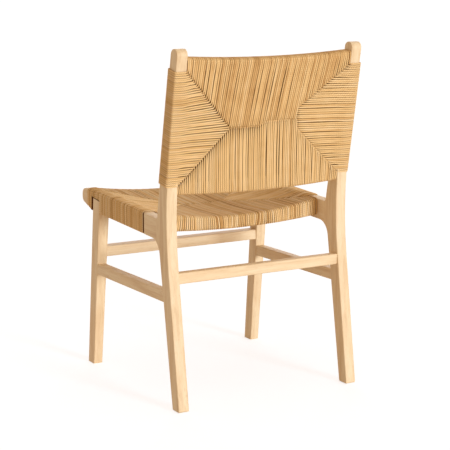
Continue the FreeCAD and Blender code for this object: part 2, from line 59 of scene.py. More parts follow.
# The cord as it is laid
cord_pitch = 5.0        # a little wider than the real 4 mm cord, so that each strand still shows
cord_half_t = 1.9       # half the thickness of a strand
cord_proud = 0.5        # over the smooth face of the woven seat or back
cord_inset = cord_half_t - cord_proud
cord_sides = 8          # faces round a strand
bend_points = 5         # on each rounded bend
lay_step = 20.0         # between points on a straight stretch
turn_room = 16.0        # left free of points before a cross rail's bend
dive = 7.0              # how deep a strand goes in under the next field
dive_run = 3.0          # half the length that it takes for that
dive_reach = 4.0        # and how far the bend there reaches
taper = 0.45            # share of its width that a strand seems to lose where it goes in
taper_run = 9.0         # and how fast it comes back
notch = 0.85            # the same for the bottom field's left half, where dark notches show
notch_run = 12.0
place_jitter = 0.22     # spread of the strands' places, and of their sideways bows
bow_spread = 0.55
lean_room = 30.0        # beside a side frame, over which the strands come upright
back_snug = (0.94, 1.07)        # least and most width of a strand, as a share of the pitch
seat_snug = (0.82, 1.02)
back_tones = (-0.2, 0.8)        # mean and spread of the strands' own tones
top_field_shaded_tones = (-1.5, 0.8)         # the back's top field is painted slightly darker, as shade
seat_tones = (0.1, 2.3)         # the seat has been sat on, and is streakier


# Meshes

def eased(path, reaches):
    """A path with each inner corner rounded off over its reach."""
    out = [path[0]]
    for i in range(1, len(path) - 1):
        here, reach = path[i], reaches[i]
        if reach == 0:
            out.append(here)
            continue
        back, ahead = path[i - 1] - here, path[i + 1] - here
        a = here + back * min(reach / (np.linalg.norm(back) + 1e-9), 0.5)
        b = here + ahead * min(reach / (np.linalg.norm(ahead) + 1e-9), 0.5)
        for q in np.linspace(0, 1, bend_points):
            out.append((1 - q) ** 2 * a + 2 * q * (1 - q) * here + q * q * b)
    out.append(path[-1])
    return np.array(out)


def swept(points, across, half_w):
    """Rings of a flattened round cord along points. Across is the direction of its width."""
    step = np.gradient(points, axis=0)
    step /= np.linalg.norm(step, axis=1)[:, None] + 1e-12
    normal = np.cross(across, step)
    normal /= np.linalg.norm(normal, axis=1)[:, None] + 1e-12
    wide = np.cross(step, normal) * half_w[:, None]
    turn = np.linspace(0, 2 * math.pi, cord_sides, endpoint=False)
    ring = wide[:, None] * np.cos(turn)[None, :, None]
    ring = ring + normal[:, None] * (np.sin(turn) * cord_half_t)[None, :, None]
    return points[:, None] + ring


def along(points):
    """Distance of each point from the path's start."""
    return np.concatenate([[0], np.cumsum(np.linalg.norm(np.diff(points, axis=0), axis=1))])


def new_piece(mesh):
    """Puts a mesh in the scene as a piece of the same name."""
    piece = bpy.data.objects.new(mesh.name, mesh)
    bpy.context.scene.collection.objects.link(piece)
    return piece


def faced_piece(name, points, faces):
    """A piece from corner points in millimetres and the faces between them."""
    mesh = bpy.data.meshes.new(name)
    mesh.from_pydata([tuple(np.array(point) * mm) for point in points], [], faces)
    mesh.update()
    return new_piece(mesh)


def cord_mesh(name, strands):
    """A piece of many strands. Each strand is (points, across, half width, tone, taper, taper's run)."""
    verts, faces, lengths, rounds, tones = [], [], [], [], []
    base = 0
    for points, across, half_w, tone, lost, reach in strands:
        run = along(points)
        near_end = np.minimum(run, run[-1] - run)
        widths = half_w * (1 - lost * np.exp(-near_end / reach))
        rings = swept(points, across, widths)
        n, k = rings.shape[:2]
        verts.append(rings.reshape(-1, 3))
        i, j = np.meshgrid(np.arange(n - 1), np.arange(k), indexing="ij")
        i, j = i.ravel(), j.ravel()
        nxt = (j + 1) % k
        faces.append(base + np.stack([i * k + j, i * k + nxt, (i + 1) * k + nxt, (i + 1) * k + j], 1))
        lengths.append(np.stack([run[i], run[i], run[i + 1], run[i + 1]], 1))
        rounds.append(np.stack([j, j + 1, j + 1, j], 1) / k)
        tones.append(np.full(n * k, tone))
        base += n * k
    verts, faces = np.concatenate(verts) * mm, np.concatenate(faces)
    mesh = bpy.data.meshes.new(name)
    mesh.vertices.add(len(verts))
    mesh.vertices.foreach_set("co", verts.astype(np.float32).ravel())
    mesh.loops.add(faces.size)
    mesh.loops.foreach_set("vertex_index", faces.astype(np.int32).ravel())
    mesh.polygons.add(len(faces))
    mesh.polygons.foreach_set("loop_start", np.arange(0, faces.size, 4, dtype=np.int32))
    mesh.polygons.foreach_set("use_smooth", np.ones(len(faces), bool))
    uv = mesh.uv_layers.new(name="lay")
    flat = np.stack([np.concatenate(lengths).ravel() * mm, np.concatenate(rounds).ravel()], 1)
    uv.data.foreach_set("uv", flat.astype(np.float32).ravel())
    tone = mesh.attributes.new("tone", "FLOAT", "POINT")
    tone.data.foreach_set("value", np.concatenate(tones).astype(np.float32))
    mesh.update(calc_edges=True)
    mesh.validate()
    return new_piece(mesh)


def slab(name, top, low, columns, rows):
    """A closed piece between a top and a low surface over a grid. Both give points for (u, v)."""
    us, vs = np.linspace(-1, 1, columns), np.linspace(0, 1, rows)
    points = [top(u, v) for u in us for v in vs] + [low(u, v) for u in us for v in vs]
    faces, half = [], columns * rows
    for i in range(columns - 1):
        for j in range(rows - 1):
            a = i * rows + j
            faces.append((a, a + rows, a + rows + 1, a + 1))
            faces.append((half + a, half + a + 1, half + a + rows + 1, half + a + rows))
    rim = list(range(rows)) + [i * rows + rows - 1 for i in range(1, columns)]
    rim += [(columns - 1) * rows + j for j in range(rows - 2, -1, -1)]
    rim += [i * rows for i in range(columns - 2, 0, -1)]
    for a, b in zip(rim, rim[1:] + rim[:1]):
        faces.append((a, b, half + b, half + a))
    return faced_piece(name, points, faces)


# Runs of cord, each a list of (distance out, height, reach of the bend there)

def dived(face, end, way, under):
    """Start of a run where the strand comes up from under the other field at a diagonal."""
    surfaced = end + way * dive_run
    return [(end - way * dive_run, face(end) + under * dive, 0.0), (surfaced, face(surfaced), dive_reach)]


def run_over(face, end, stop, way):
    """Points a step apart over a face, from the diagonal at end as far as stop."""
    first = end + way * (dive_run + lay_step / 2)
    return [(a, face(a), 0.0) for a in np.arange(first, stop, way * lay_step)]


def placed(run, place, end, out, bow):
    """The run in space. It bows sideways between its end at the diagonal and its way out round the rail."""
    path = []
    for a, h, _ in run:
        share = min(max((a - end) / (out - end + 1e-6), 0), 1)
        path.append(place(a, h, bow * math.sin(math.pi * share)))
    return eased(path, [reach for _, _, reach in run])


def side_room(x):
    """Share of its lean that a strand at x has room for beside the side frame."""
    return min(1, (side_x - abs(x)) / lean_room)


def field(rng, start, stop, strand, across, snug=back_snug, tones=back_tones, notched=False):
    """Strands side by side from start to stop. Strand gives the paths for one place."""
    strands = []
    count = round((stop - start) / cord_pitch)
    for i in range(count):
        at = start + (i + 0.5) * (stop - start) / count + rng.gauss(0, place_jitter)
        half_w = cord_pitch / 2 * rng.uniform(*snug)
        tone = rng.gauss(*tones)
        bow = rng.gauss(0, bow_spread)
        lost, reach = (notch, notch_run) if notched and at > 0 else (taper, taper_run)
        strands += [(path, across, half_w, tone, lost, reach) for path in strand(at, bow)]
    return strands


# The woven back

back_reach = 14.4       # from the middle of a back rail to the face of its cord
back_bow = 6.0          # how far the back's middle lies further to the rear than its sides
back_dip = 6.5          # and how far its top and foot lie lower there
back_sink = 7.0         # how far the faces sink in at mid height
back_edge_swell = 9.0   # and how far the front face swells out there beside the posts
back_top_s = 305.4      # its top and its foot at the side frames, up the posts
back_low_s = -21.4
back_end_r = 8.0        # rounding of its top and its foot
post_bed = (4.0, 2.0)   # how far past its inner edge a strand meets the post, at the rear and the front
post_bed_bend = (5.0, 4.0)
post_bend = 5.0         # rounding of a strand at the post's outer corners
post_rest = (10.0, 8.0)         # how far short of the post a side field's straight stretch ends
post_blend = 40.0       # width over which the front face comes flush with the post
seam_left = 94.0        # inner ends of the two side fields
seam_right = 87.0
seam_s = 133.0          # height at which the top and the bottom field meet
seam_rise = 11.0        # the seam steps up by this much towards the right
seam_step_x = (-10.0, 22.0)
blunt_low_s = 120.0     # the right field ends blunt between these two heights
blunt_top_s = 172.0
blunt_run = 6.0         # and its end slants out by this much towards the lower one
field_top_s = 275.0     # height at which the upper diagonals reach the posts
droop = 0.11            # fall of the left field's strands on their way out
droop_s = (110.0, 200.0)        # the heights between which that fall begins
right_droop = 0.03      # the same fall in the right field
top_slant = 0.085       # sideways lean in the top field, which grows towards the right
top_fan = 0.0002
low_slant = 0.07        # sideways lean in the bottom field


def back_place(x, t, s):
    """Point of the leaning back: t is out to the rear, s is up the posts."""
    y = back_foot_y + t * math.cos(lean) + s * math.sin(lean)
    z = back_foot_z - t * math.sin(lean) + s * math.cos(lean)
    return np.array([x, y, z])


def middle_share(x):
    """How far a place across the chair is towards the middle: 1 there, 0 at the side frames."""
    return 1 - min(abs(x) / side_x, 1) ** 2


def back_edge(x):
    """Depth of the middle, and height of the top and of the foot, of the woven back at x."""
    m = middle_share(x)
    return -back_reach + back_bow * m, back_top_s - back_dip * m, back_low_s - back_dip * m


def back_face(x, s, side):
    """Depth of the cord at the rear face (side 1) or the front face (side -1) of the woven back."""
    m = middle_share(x)
    mid_t, top_s, low_s = back_edge(x)
    w = (s - (top_s + low_s) / 2) / ((top_s - low_s) / 2 - back_end_r)
    hollow = max(1 - w * w, 0)
    if side > 0:
        return mid_t + back_reach - cord_inset - back_sink * m * hollow
    return mid_t - back_reach + cord_inset + (back_sink - (back_sink + back_edge_swell) * (1 - m)) * hollow


def post_depth(s):
    """Depth of the post at s up the back, square to the back."""
    z = back_foot_z + s * math.cos(lean)
    depth = post_d[0] + (post_d[1] - post_d[0]) * (z - post_z[0]) / (post_z[1] - post_z[0])
    return depth * math.cos(lean)


def side_end(s, side):
    """Where a side field's strand goes in at height s, as a distance from the chair's middle."""
    if side > 0 and s > seam_s:
        return seam_left + (s - seam_s) * (side_x - seam_left) / (field_top_s - seam_s)
    if side > 0:
        return seam_left + (seam_s - s) * (side_x - seam_left) / seam_s
    if s > blunt_top_s:
        return seam_right + (s - blunt_top_s) * (side_x - seam_right) / (field_top_s - blunt_top_s)
    if s > blunt_low_s:
        return seam_right + blunt_run * (blunt_top_s - s) / (blunt_top_s - blunt_low_s)
    return seam_right + blunt_run + (blunt_low_s - s) * (side_x - seam_right - blunt_run) / blunt_low_s


def seam_height(x, way):
    """Where an upright strand at x goes in: way 1 for the top field, -1 for the bottom one."""
    if way > 0 and x > seam_left:
        return seam_s + (x - seam_left) * (field_top_s - seam_s) / (side_x - seam_left)
    if way > 0 and -x > seam_right:
        return blunt_top_s + (-x - seam_right) * (field_top_s - blunt_top_s) / (side_x - seam_right)
    if way < 0 and x > seam_left:
        return seam_s - (x - seam_left) * seam_s / (side_x - seam_left)
    if way < 0 and -x > seam_right + blunt_run:
        return blunt_low_s - (-x - seam_right - blunt_run) * blunt_low_s / (side_x - seam_right - blunt_run)
    share = min(max((seam_step_x[1] - x) / (seam_step_x[1] - seam_step_x[0]), 0), 1)
    return seam_s + seam_rise * share * share * (3 - 2 * share)


def upright_strand(x, bow, way):
    """A strand of the top (way 1) or bottom (way -1) field, from face to face round its rail."""
    mid_t, top_s, low_s = back_edge(x)
    out = top_s if way > 0 else low_s
    slant = top_slant - top_fan * x if way > 0 else low_slant
    room = side_room(x)

    def x_at(s):
        return x + slant * room * abs(out - s)

    end = out
    while (end - seam_height(x_at(end), way)) * way > 0:
        end -= way

    run = []
    for side in (1, -1):
        def face(s):
            return back_face(x_at(s), s, side)

        half = dived(face, end, way, -side) + run_over(face, end, out - way * turn_room, way)
        half.append((out - way * cord_inset, mid_t + side * (back_reach - cord_inset), back_end_r))
        run += half if side > 0 else half[::-1]
    return [placed(run, lambda s, t, shift: back_place(x_at(s) + shift, t, s), end, out, bow)]


def side_strand(s, bow, side):
    """A strand of a side field, from face to face round its post."""
    fall = right_droop
    if side > 0:
        fall = droop * min(max((s - droop_s[0]) / (droop_s[1] - droop_s[0]), 0), 1)
    end = side_end(s, side)
    # The fall moves the end, and the end sets the fall. A few rounds settle both.
    for _ in range(4):
        end = side_end(s + fall * (side_x - end), side)
    out = outer_x + cord_t - cord_inset
    rear_t = cord_t - cord_inset
    front_t = -post_depth(s) - rear_t

    def rear(x):
        return back_face(x, s, 1)

    def front(x):
        blend = min(max((side_x - x) / post_blend, 0), 1)
        return front_t + (back_face(x, s, -1) - front_t) * blend

    run = dived(rear, end, 1, -1) + run_over(rear, end, side_x - post_rest[0], 1)
    run += [(side_x + post_bed[0], rear_t, post_bed_bend[0]), (out, rear_t, post_bend)]
    run += [(out, front_t, post_bend), (side_x + post_bed[1], front_t, post_bed_bend[1])]
    run += (dived(front, end, 1, 1) + run_over(front, end, side_x - post_rest[1], 1))[::-1]

    def place(x, t, shift):
        return back_place(side * x, t, s + fall * (side_x - min(x, side_x)) + shift)

    return [placed(run, place, end, side_x, bow)]


def back_strands():
    """All the strands of the woven back."""
    rng = random.Random(7)
    up = back_place(0, 0, 1) - back_place(0, 0, 0)
    strands = []
    for side in (1, -1):
        strands += field(rng, 0, post_wrap_h, lambda s, bow: side_strand(s, bow, side), up * side)
    for way in (1, -1):
        across = np.array([-way, 0.0, 0.0])
        # The top field's darker tones are painted shade.
        tones = top_field_shaded_tones if way > 0 else back_tones
        strands += field(rng, -side_x, side_x, lambda x, bow: upright_strand(x, bow, way), across,
                         tones=tones, notched=way < 0)
    return strands


# The woven seat

rail_top_z = 448.0      # top of the side seat rail where it meets the rear leg
rail_back_y = 153.9     # and the place of that along the rail
rail_h = 51.5           # depth of that rail
seat_rise = math.tan(math.radians(1.7))         # slope of its top, which rises to the front
front_top_z = 458.8     # faces of the cord round the front and the rear rail, at the rails' ends
rear_top_z = 451.4
front_low_z = 422.5
rear_low_z = 407.1
front_top_dip = 18.5    # how much lower the same faces are at the middle
front_low_dip = 16.0
rear_top_dip = 22.5
rear_low_dip = 11.5
seat_sag = 7.5          # how far the top sinks between front and rear, at the middle and at the sides
seat_edge_sag = 0.5
seat_lift = 8.5         # how far the underside rises there at the middle, and drops at the sides
seat_edge_drop = 9.0
nose_low = (-207.5, 407.2)      # where the bevel under the nose meets the rail's underside
nose_slope = 0.335      # rise of that bevel towards the front
front_bend = 12.0       # rounding of a strand at the front and at the rear rail
rear_bend = 8.0
rail_lean = 0.14        # how far the strands round a cross rail lean to and fro on its face
lean_waves = ((0.6, 29.0, 2.2), (0.4, 12.5, 0.0))       # share, run of a radian, and start of each sway
side_bed = (2.0, -2.0)  # how far past its inner edge a strand meets the side rail, above and below
side_bed_bend = (5.0, 3.0)
side_bend = (7.0, 4.0)  # rounding of a strand at the side rail's outer edges, above and below
side_rest = (10.0, 12.0)        # how far short of the side rail the straight stretch ends

# The front leg's lapped top parts the cord on the side rail
cheek_y = (-209.0, -161.6)      # cord that ends above the lapped top
cheek_z = 442.0                 # height of the lapped top at its front edge
cheek_slope = 0.11              # its fall towards the rear
cheek_gap = 3.2                 # room between it and the cord that ends above it
cheek_lean = 0.105              # lean of the front leg beside which the strands run
cheek_lean_run = 70.0           # and how far to the rear that lean fades out
cheek_end_bend = 1.0
cheek_end_tuck = 10.0           # how far the parted ends go in above the leg
cheek_start = (-1.0, 4.0)       # where they start again: out from the rail's inner edge, and up from below

# Dark brown sheets of painted shadow where the cord stops short of bare wood
cord_stop_y = 83.4              # the last strand leaves a dark gap to the bare rail
bare_rail_y = 90.0              # which starts here
gap_tuck = 4.0                  # how far the sheet goes in under the last strand
gap_clear = 0.1                 # in front of the bare rail's shoulder
gap_drop = 1.5                  # how far it ends below the rail's top
gap_inset = 0.8                 # and how far its face lies inside the rail's
gap_bed = 0.05                  # over the wood behind it
gap_sheet_t = 1.6               # thickness of the sheet over the leg
gap_sheet_lift = 0.3            # over the front leg's lapped top
slot_x = (238.0, 249.4)         # the slot round the lapped top, as far as the painted shadow shows in it
slot_z = (409.5, 444.5)         # foot and head of that sheet
slot_w = 8.2                    # width of the sheet in front of the leg

# Folded paper between the two layers of cord
fill_half_w = 216.0
fill_inset = 4.0
fill_deep = 4.5                 # below the middle of the strands
fill_s = (6.0, 270.0)           # foot and head of the back's filling


def rail_top(y):
    """Top of the side seat rail at y."""
    return rail_top_z + (rail_back_y - y) * seat_rise


def seat_face(x, y, top):
    """Height of the cord on top of the woven seat, or on its underside."""
    m = middle_share(x)
    low_y, high_y = rail_cord_y
    share = min(max((y - low_y) / (high_y - low_y), 0), 1)
    belly = 4 * share * (1 - share)
    if top:
        front, rear = front_top_z - front_top_dip * m, rear_top_z - rear_top_dip * m
        sag = seat_sag * m + seat_edge_sag * (1 - m)
        return front + (rear - front) * share - sag * belly - cord_inset
    front, rear = front_low_z - front_low_dip * m, rear_low_z - rear_low_dip * m
    lift = seat_lift * m - seat_edge_drop * (1 - m)
    return front + (rear - front) * share + lift * belly + cord_inset


def rail_low(y):
    """Underside of the side seat rail at y, with the bevel under its nose."""
    return max(rail_top(y) - rail_h, nose_low[1] + (nose_low[0] - y) * nose_slope)


def cheek_top(y):
    """Top of the front leg's lapped end at y."""
    return cheek_z - (y - cheek_y[0]) * cheek_slope


def rail_strand(x, bow, way):
    """A strand round the rear (way 1) or front (way -1) seat rail."""
    half_len = (rail_cord_y[1] - rail_cord_y[0]) / 2
    end = sum(rail_cord_y) / 2 + way * max(half_len - (side_x - abs(x)), 0)
    out = seat_back_y - cord_inset if way > 0 else nose_y + cord_inset
    bend = rear_bend if way > 0 else front_bend
    run = []
    for top in (True, False):
        def face(y):
            return seat_face(x, y, top)

        half = dived(face, end, way, -1 if top else 1) + run_over(face, end, out - way * turn_room, way)
        half.append((out, face(out), bend))
        run += half if top else half[::-1]
    sway = sum(share * math.sin(x / length + start) for share, length, start in lean_waves)
    slant = rail_lean * side_room(x) * sway
    top_z = seat_face(x, out, True)

    def place(y, z, shift):
        return np.array([x + shift + slant * (top_z - z) * abs(y - end) / abs(out - end), y, z])

    return [placed(run, place, end, out, bow)]


def seat_side_strand(y, bow, side):
    """A strand round a side seat rail, in two runs where the front leg's top parts it."""
    end = side_x - min(y - rail_cord_y[0], rail_cord_y[1] - y)
    out = outer_x - cord_inset
    top_z = rail_top(y) + cord_t - cord_inset
    low_z = rail_low(y) + cord_inset

    def upper(x):
        return seat_face(x, y, True)

    def lower(x):
        return seat_face(x, y, False)

    over = dived(upper, end, 1, -1) + run_over(upper, end, side_x - side_rest[0], 1)
    over += [(side_x + side_bed[0], top_z, side_bed_bend[0]), (out, top_z, side_bend[0])]
    under = [(side_x + side_bed[1], low_z, side_bed_bend[1])]
    under += (dived(lower, end, 1, 1) + run_over(lower, end, side_x - side_rest[1], 1))[::-1]
    if cheek_y[0] < y < cheek_y[1]:
        stop_z = cheek_top(y) + cheek_gap + cord_half_t / 2
        over += [(out, stop_z, cheek_end_bend), (out - cheek_end_tuck, stop_z, 0.0)]
        runs = [over, [(side_x + cheek_start[0], low_z + cheek_start[1], 0.0)] + under]
    else:
        runs = [over + [(out, low_z, side_bend[1])] + under]

    if y < cheek_y[0]:
        beside = (y - rail_cord_y[0]) / (cheek_y[0] - rail_cord_y[0])
    else:
        beside = max(1 - max(y - cheek_y[1], 0) / cheek_lean_run, 0)

    def place(x, z, shift):
        return np.array([side * x, y + shift + cheek_lean * beside * min(z - cheek_z, 0), z])

    return [placed(run, place, end, side_x, bow) for run in runs]


def seat_strands():
    """All the strands of the woven seat."""
    rng = random.Random(11)
    strands = []
    for side in (1, -1):
        across = np.array([0.0, -side, 0.0])
        for start, stop in ((rail_cord_y[0], cheek_y[0]), cheek_y, (cheek_y[1], cord_stop_y)):
            strands += field(rng, start, stop, lambda y, bow: seat_side_strand(y, bow, side), across,
                             seat_snug, seat_tones)
    for way in (1, -1):
        across = np.array([way, 0.0, 0.0])
        strands += field(rng, -side_x, side_x, lambda x, bow: rail_strand(x, bow, way), across,
                         seat_snug, seat_tones)
    return strands


def gap_shadow_sheet(side):
    """Dark brown sheets of painted shadow in the gaps beside the bare rail, in front of the front leg's top
    and over it.
    """
    rail_gap = [
        (cord_stop_y - gap_tuck, rail_low(cord_stop_y) + cord_t),
        (cord_stop_y - gap_tuck, rail_top(cord_stop_y) - gap_drop),
        (bare_rail_y - gap_clear, rail_top(bare_rail_y) - gap_drop),
        (bare_rail_y - gap_clear, rail_low(bare_rail_y) + cord_t),
    ]
    foot, head = slot_z
    foot_y, head_y = (cheek_y[0] + cheek_lean * (z - cheek_z) for z in slot_z)
    leg_gap = [(foot_y, foot), (head_y, head), (head_y + slot_w, head), (foot_y + slot_w, foot)]
    front_z, rear_z = (cheek_top(y) + gap_sheet_lift for y in cheek_y)
    over_gap = [(cheek_y[0], front_z), (cheek_y[1], rear_z),
                (cheek_y[1], rear_z + gap_sheet_t), (cheek_y[0], front_z + gap_sheet_t)]
    rail_gap_x = (outer_x - cord_t + gap_bed, outer_x - gap_inset)
    points, faces = [], []
    for span, corners in ((rail_gap_x, rail_gap), (slot_x, leg_gap), (slot_x, over_gap)):
        base = len(points)
        points += [(side * x, y, z) for x in span for y, z in corners]
        walls = [(0, 1, 2, 3), (7, 6, 5, 4)] + [(i, i + 4, (i + 1) % 4 + 4, (i + 1) % 4) for i in range(4)]
        faces += [tuple(base + k for k in wall[::side]) for wall in walls]
    return faced_piece("seat_gap_shadow_sheet_" + ("left" if side > 0 else "right"), points, faces)


# Finishes

def linear(code):
    """An sRGB hex colour as linear RGBA."""
    parts = [int(code[i:i + 2], 16) / 255 for i in (0, 2, 4)]
    return [c / 12.92 if c <= 0.04045 else ((c + 0.055) / 1.055) ** 2.4 for c in parts] + [1.0]


def add_node(owner, kind, links=(), **settings):
    """Adds a node to a material or world, sets it up, and links (socket, node, output) into it.

    A setting whose name starts with in_ goes to the socket of that name or number.
    """
    node = owner.node_tree.nodes.new(kind)
    for key, value in settings.items():
        if key.startswith("in_"):
            name = key[3:]
            node.inputs[int(name) if name.isdigit() else name.replace("_", " ")].default_value = value
        else:
            setattr(node, key, value)
    for socket, source, output in links:
        owner.node_tree.links.new(source.outputs[output], node.inputs[socket])
    return node


def new_finish(name, roughness, specular=0.5):
    """A material with one Principled shader, whose even values are on its own sockets."""
    material = bpy.data.materials.new(name)
    material.use_nodes = True
    shader = material.node_tree.nodes["Principled BSDF"]
    shader.inputs["Roughness"].default_value = roughness
    shader.inputs["Specular IOR Level"].default_value = specular
    return material, shader


def ramp_stops(node, stops):
    """Sets a colour ramp's stops from (position, hex) pairs."""
    band = node.color_ramp
    band.elements[0].position, band.elements[0].color = stops[0][0], linear(stops[0][1])
    band.elements[1].position, band.elements[1].color = stops[-1][0], linear(stops[-1][1])
    for position, code in stops[1:-1]:
        band.elements.new(position).color = linear(code)


def mottle(material, shader, scale, detail, stops):
    """A base colour that wanders between the stops, over patches of 1 / scale metres."""
    place = add_node(material, "ShaderNodeTexCoord")
    patches = add_node(material, "ShaderNodeTexNoise", [("Vector", place, "Object")],
                       in_Scale=scale, in_Detail=detail)
    tone = add_node(material, "ShaderNodeValToRGB", [("Fac", patches, "Fac")])
    ramp_stops(tone, stops)
    material.node_tree.links.new(tone.outputs["Color"], shader.inputs["Base Color"])


def soaped_beech(name, grain_axis, seed):
    """Planed and soaped beech: pale, slightly pink, matt, with fine short flecks along the grain."""
    material, shader = new_finish(name, 0.55, 0.35)
    links = material.node_tree.links
    place = add_node(material, "ShaderNodeTexCoord")
    # Stretched to 14 times its width along the grain, and moved so that no two boards are alike.
    stretch = [1.0, 1.0, 1.0]
    stretch["XYZ".index(grain_axis)] = 0.07
    grain = add_node(material, "ShaderNodeMapping", [("Vector", place, "Object")],
                     in_Location=(seed * 1.7, seed * 0.9, seed * 2.3), in_Scale=stretch)
    # Growth rings show as soft bands 10 to 15 mm wide.
    bands = add_node(material, "ShaderNodeTexNoise", [("Vector", grain, "Vector")],
                     in_Scale=75.0, in_Detail=3.0, in_Roughness=0.55, in_Distortion=0.6)
    # Fine pores about 1.6 mm apart.
    pores = add_node(material, "ShaderNodeTexNoise", [("Vector", grain, "Vector")],
                     in_Scale=620.0, in_Detail=2.0, in_Roughness=0.6)
    # Slow drift of tone, about 20 cm from light to dark.
    drift = add_node(material, "ShaderNodeTexNoise", [("Vector", place, "Object")],
                     in_Scale=5.0, in_Detail=1.0)
    tone = add_node(material, "ShaderNodeValToRGB", [("Fac", bands, "Fac")])
    ramp_stops(tone, [(0.30, "DCC19B"), (0.48, "E9D3B0"), (0.62, "EFDDBE"), (0.75, "E3CBA4")])
    fleck = add_node(material, "ShaderNodeMapRange", [("Value", pores, "Fac")],
                     in_From_Min=0.56, in_From_Max=0.72, in_To_Max=0.35)
    flecked = add_node(material, "ShaderNodeMix", [("Factor", fleck, "Result"), (6, tone, "Color")],
                       data_type="RGBA", in_7=linear("C49C6A"))
    warm = add_node(material, "ShaderNodeMapRange", [("Value", drift, "Fac")],
                    in_From_Min=0.35, in_From_Max=0.7, in_To_Max=0.35)
    colour = add_node(material, "ShaderNodeMix", [("Factor", warm, "Result"), (6, flecked, 2)],
                      data_type="RGBA", in_7=linear("E9C8A0"))
    links.new(colour.outputs[2], shader.inputs["Base Color"])
    bump = add_node(material, "ShaderNodeBump", [("Height", pores, "Fac")],
                    in_Strength=0.12, in_Distance=0.0004)
    links.new(bump.outputs["Normal"], shader.inputs["Normal"])
    return material


def twisted_paper_cord(name):
    """Three-ply twisted kraft paper: matt, tan, with slanting grooves where the plies meet."""
    material, shader = new_finish(name, 0.72, 0.25)
    links = material.node_tree.links
    lay = add_node(material, "ShaderNodeUVMap", uv_map="lay")
    split = add_node(material, "ShaderNodeSeparateXYZ", [("Vector", lay, "UV")])
    # One ply goes once round in 15 mm, so three plies show a groove every 5 mm.
    turns = add_node(material, "ShaderNodeMath", [(0, split, "X")], operation="MULTIPLY", in_1=1 / 0.015)
    plies = add_node(material, "ShaderNodeMath", [(0, turns, "Value"), (1, split, "Y")], operation="ADD")
    angle = add_node(material, "ShaderNodeMath", [(0, plies, "Value")], operation="MULTIPLY",
                     in_1=6 * math.pi)
    ridge = add_node(material, "ShaderNodeMath", [(0, angle, "Value")], operation="SINE")
    groove = add_node(material, "ShaderNodeMapRange", [("Value", ridge, "Value")],
                      in_From_Min=-1.0, in_From_Max=-0.2)
    place = add_node(material, "ShaderNodeTexCoord")
    # Creases of the rolled paper, about 2.4 mm apart.
    crease = add_node(material, "ShaderNodeTexNoise", [("Vector", place, "Object")],
                      in_Scale=420.0, in_Detail=3.0, in_Roughness=0.6)
    blotch = add_node(material, "ShaderNodeTexNoise", [("Vector", place, "Object")],
                      in_Scale=38.0, in_Detail=2.0)
    # Each strand's own tone shifts the colour, and so does a faint blotch every few centimetres.
    own = add_node(material, "ShaderNodeAttribute", attribute_name="tone")
    lift = add_node(material, "ShaderNodeMath", [(0, own, "Fac")], operation="MULTIPLY", in_1=0.085)
    faint = add_node(material, "ShaderNodeMath", [(0, blotch, "Fac")], operation="MULTIPLY_ADD",
                     in_1=0.3, in_2=0.35)
    mixed = add_node(material, "ShaderNodeMath", [(0, lift, "Value"), (1, faint, "Value")], operation="ADD")
    tone = add_node(material, "ShaderNodeValToRGB", [("Fac", mixed, "Value")])
    ramp_stops(tone, [(0.1, "BE9158"), (0.3, "E4BB80"), (0.42, "F0CC92"), (0.56, "F7D6A0"),
                      (0.76, "FCE3B6")])
    # The grooves are darkened in colour as well as in relief: painted shade between the plies.
    dark = add_node(material, "ShaderNodeMath", [(0, groove, "Result")], operation="SUBTRACT", in_1=1.0)
    depth = add_node(material, "ShaderNodeMath", [(0, dark, "Value")], operation="MULTIPLY", in_1=-0.5)
    groove_painted_shade = add_node(material, "ShaderNodeMix", [("Factor", depth, "Value"), (6, tone, "Color")],
                       data_type="RGBA", in_7=linear("8F6230"))
    # Painted shade darkens the flanks, where a strand lies against the next one.
    round_turn = add_node(material, "ShaderNodeMath", [(0, split, "Y")], operation="MULTIPLY",
                          in_1=2 * math.pi)
    flank = add_node(material, "ShaderNodeMath", [(0, round_turn, "Value")], operation="COSINE")
    beside = add_node(material, "ShaderNodeMath", [(0, flank, "Value")], operation="ABSOLUTE")
    shade = add_node(material, "ShaderNodeMapRange", [("Value", beside, "Value")],
                     in_From_Min=0.72, in_From_Max=1.0, in_To_Max=0.7)
    colour = add_node(material, "ShaderNodeMix", [("Factor", shade, "Result"), (6, groove_painted_shade, 2)],
                      data_type="RGBA", in_7=linear("7A4E22"))
    links.new(colour.outputs[2], shader.inputs["Base Color"])
    height = add_node(material, "ShaderNodeMath", [(0, crease, "Fac")], operation="MULTIPLY", in_1=0.3)
    relief = add_node(material, "ShaderNodeMath", [(0, groove, "Result"), (1, height, "Value")],
                      operation="ADD")
    bump = add_node(material, "ShaderNodeBump", [("Height", relief, "Value")],
                    in_Strength=0.5, in_Distance=0.0006)
    links.new(bump.outputs["Normal"], shader.inputs["Normal"])
    return material


def packed_paper_painted_dark(name):
    """The folded paper between the two layers of cord, coloured dark brown as painted shade between the
    strands.
    """
    material, shader = new_finish(name, 0.9, 0.1)
    # Folds about 6 mm apart.
    mottle(material, shader, 160.0, 3.0, [(0.3, "5E4020"), (0.7, "86602F")])
    return material


def shadow_sheet_finish(name):
    """Dark brown and matt: painted shadow in the gaps at the end of the cord and round the front leg's
    lapped top.
    """
    material, shader = new_finish(name, 0.95, 0.05)
    # Mottled in clouds about 2.5 mm across.
    mottle(material, shader, 400.0, 2.0, [(0.3, "46240C"), (0.7, "663614")])
    return material


def drawn_steel(name):
    """Drawn steel wire of the cord tacks, dull from the tumbling barrel."""
    material, shader = new_finish(name, 0.45)
    shader.inputs["Metallic"].default_value = 1.0
    # Scuffs about 1 mm across.
    mottle(material, shader, 900.0, 2.0, [(0.3, "77736C"), (0.7, "A5A098")])
    return material


def finish_node(name, material):
    """Gives a frame node its finish."""
    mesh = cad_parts[name].data
    mesh.materials.clear()
    mesh.materials.append(material)


